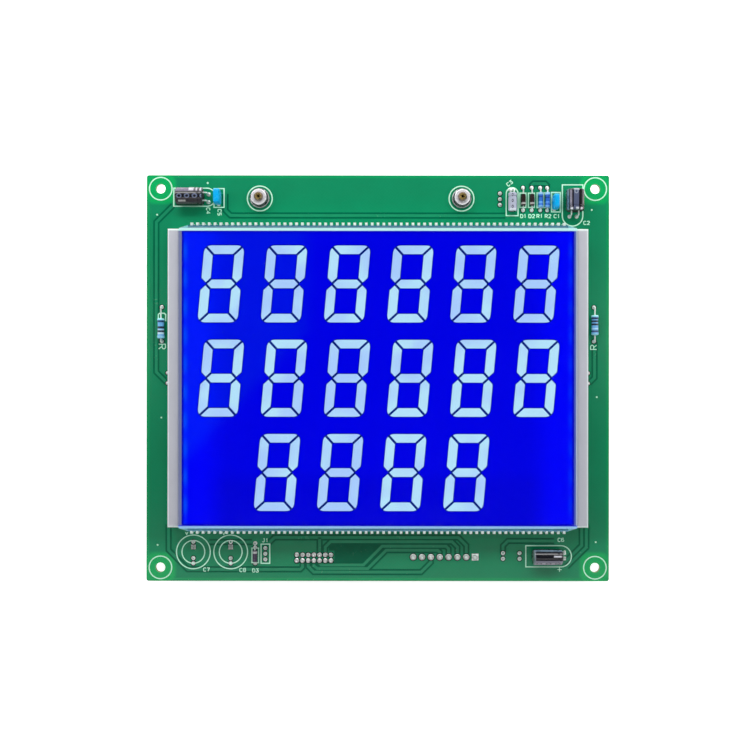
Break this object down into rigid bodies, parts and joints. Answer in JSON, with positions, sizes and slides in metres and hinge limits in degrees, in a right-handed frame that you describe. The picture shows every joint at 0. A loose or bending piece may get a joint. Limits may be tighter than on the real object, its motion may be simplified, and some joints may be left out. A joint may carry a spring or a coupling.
{
  "type": "segment lcd module",
  "caption": "Board-mounted display module with rows of blue seven-segment liquid crystal digits, an edge-lit backlight, rear connectors and corner mounting holes.",
  "frame": {"origin": "middle of the four corner holes, on the rear face of the board", "axes": "+X along the digit rows to the right, +Y up the display, +Z out of the display towards the viewer"},
  "size_m": [0.207, 0.1816, 0.0226],
  "materials": {
    "board": "green solder mask, semi-gloss",
    "tinned_metal": "tinned, bright",
    "solder": "bright solder",
    "frame_plastic": "smooth moulded grey",
    "white_film": "white film",
    "clear_acrylic": "clear",
    "led_board": "white solder mask",
    "led_lens": "yellow phosphor",
    "polarizer_film": "glossy film",
    "display_glass": "polished",
    "cell_seal": "cured resin, lit from behind",
    "display_field": "lit blue field",
    "display_segments": "lit pale segments",
    "resin": "cured clear resin",
    "standoff_brass": "turned",
    "washer_steel": "zinc plated",
    "nut_steel": "bright plated",
    "can_aluminium": "drawn",
    "sleeve": "shrunk film",
    "bung_rubber": "matte",
    "dipped_blue": "dipped epoxy",
    "diode_plastic": "moulded",
    "resistor_lacquer": "lacquered, with colour bands",
    "header_black": "moulded",
    "header_gold": "gold flash",
    "header_white": "moulded nylon",
    "circuit_black": "moulded epoxy"
  },
  "bodies": {
    "root": {"pcb": "board", "plated_holes": "tinned_metal", "backlight_pins": "tinned_metal", "lcd_pins_top": "tinned_metal", "lcd_pins_bottom": "tinned_metal", "capacitor_leads": "tinned_metal", "dipped_capacitor_leads": "tinned_metal", "diode_leads": "tinned_metal", "resistor_leads": "tinned_metal", "power_header_pins": "tinned_metal", "display_driver_leads": "tinned_metal", "regulator_leads": "tinned_metal", "solder_joints": "solder", "backlight_frame": "frame_plastic", "backing_plate": "white_film", "reflector_sheet": "white_film", "diffuser_sheet": "white_film", "light_guide": "clear_acrylic", "led_strip_left": "led_board", "led_strip_right": "led_board", "led_chips": "led_lens", "rear_polarizer": "polarizer_film", "front_polarizer": "polarizer_film", "rear_glass": "display_glass", "front_glass": "display_glass", "cell_seal": "cell_seal", "liquid_crystal": "display_field", "digit_segments": "display_segments", "pin_resin_top": "resin", "pin_resin_bottom": "resin", "standoffs": "standoff_brass", "stud_washers": "washer_steel", "stud_nuts": "nut_steel", "left_capacitor_can": "can_aluminium", "small_capacitor_can": "can_aluminium", "right_capacitor_can": "can_aluminium", "lower_capacitor_can": "can_aluminium", "left_capacitor_sleeve": "sleeve", "small_capacitor_sleeve": "sleeve", "right_capacitor_sleeve": "sleeve", "lower_capacitor_sleeve": "sleeve", "capacitor_bungs": "bung_rubber", "left_dipped_capacitor": "dipped_blue", "right_dipped_capacitor": "dipped_blue", "upper_diode_left": "diode_plastic", "upper_diode_right": "diode_plastic", "lower_diode": "diode_plastic", "small_resistor_left": "resistor_lacquer", "small_resistor_right": "resistor_lacquer", "side_resistor_left": "resistor_lacquer", "side_resistor_right": "resistor_lacquer", "data_header_shroud": "header_black", "data_header_pins": "header_gold", "power_header_base": "header_white", "display_driver_1": "circuit_black", "display_driver_2": "circuit_black", "display_driver_3": "circuit_black", "display_driver_4": "circuit_black", "regulator_body": "circuit_black"}
  },
  "joints": []
}
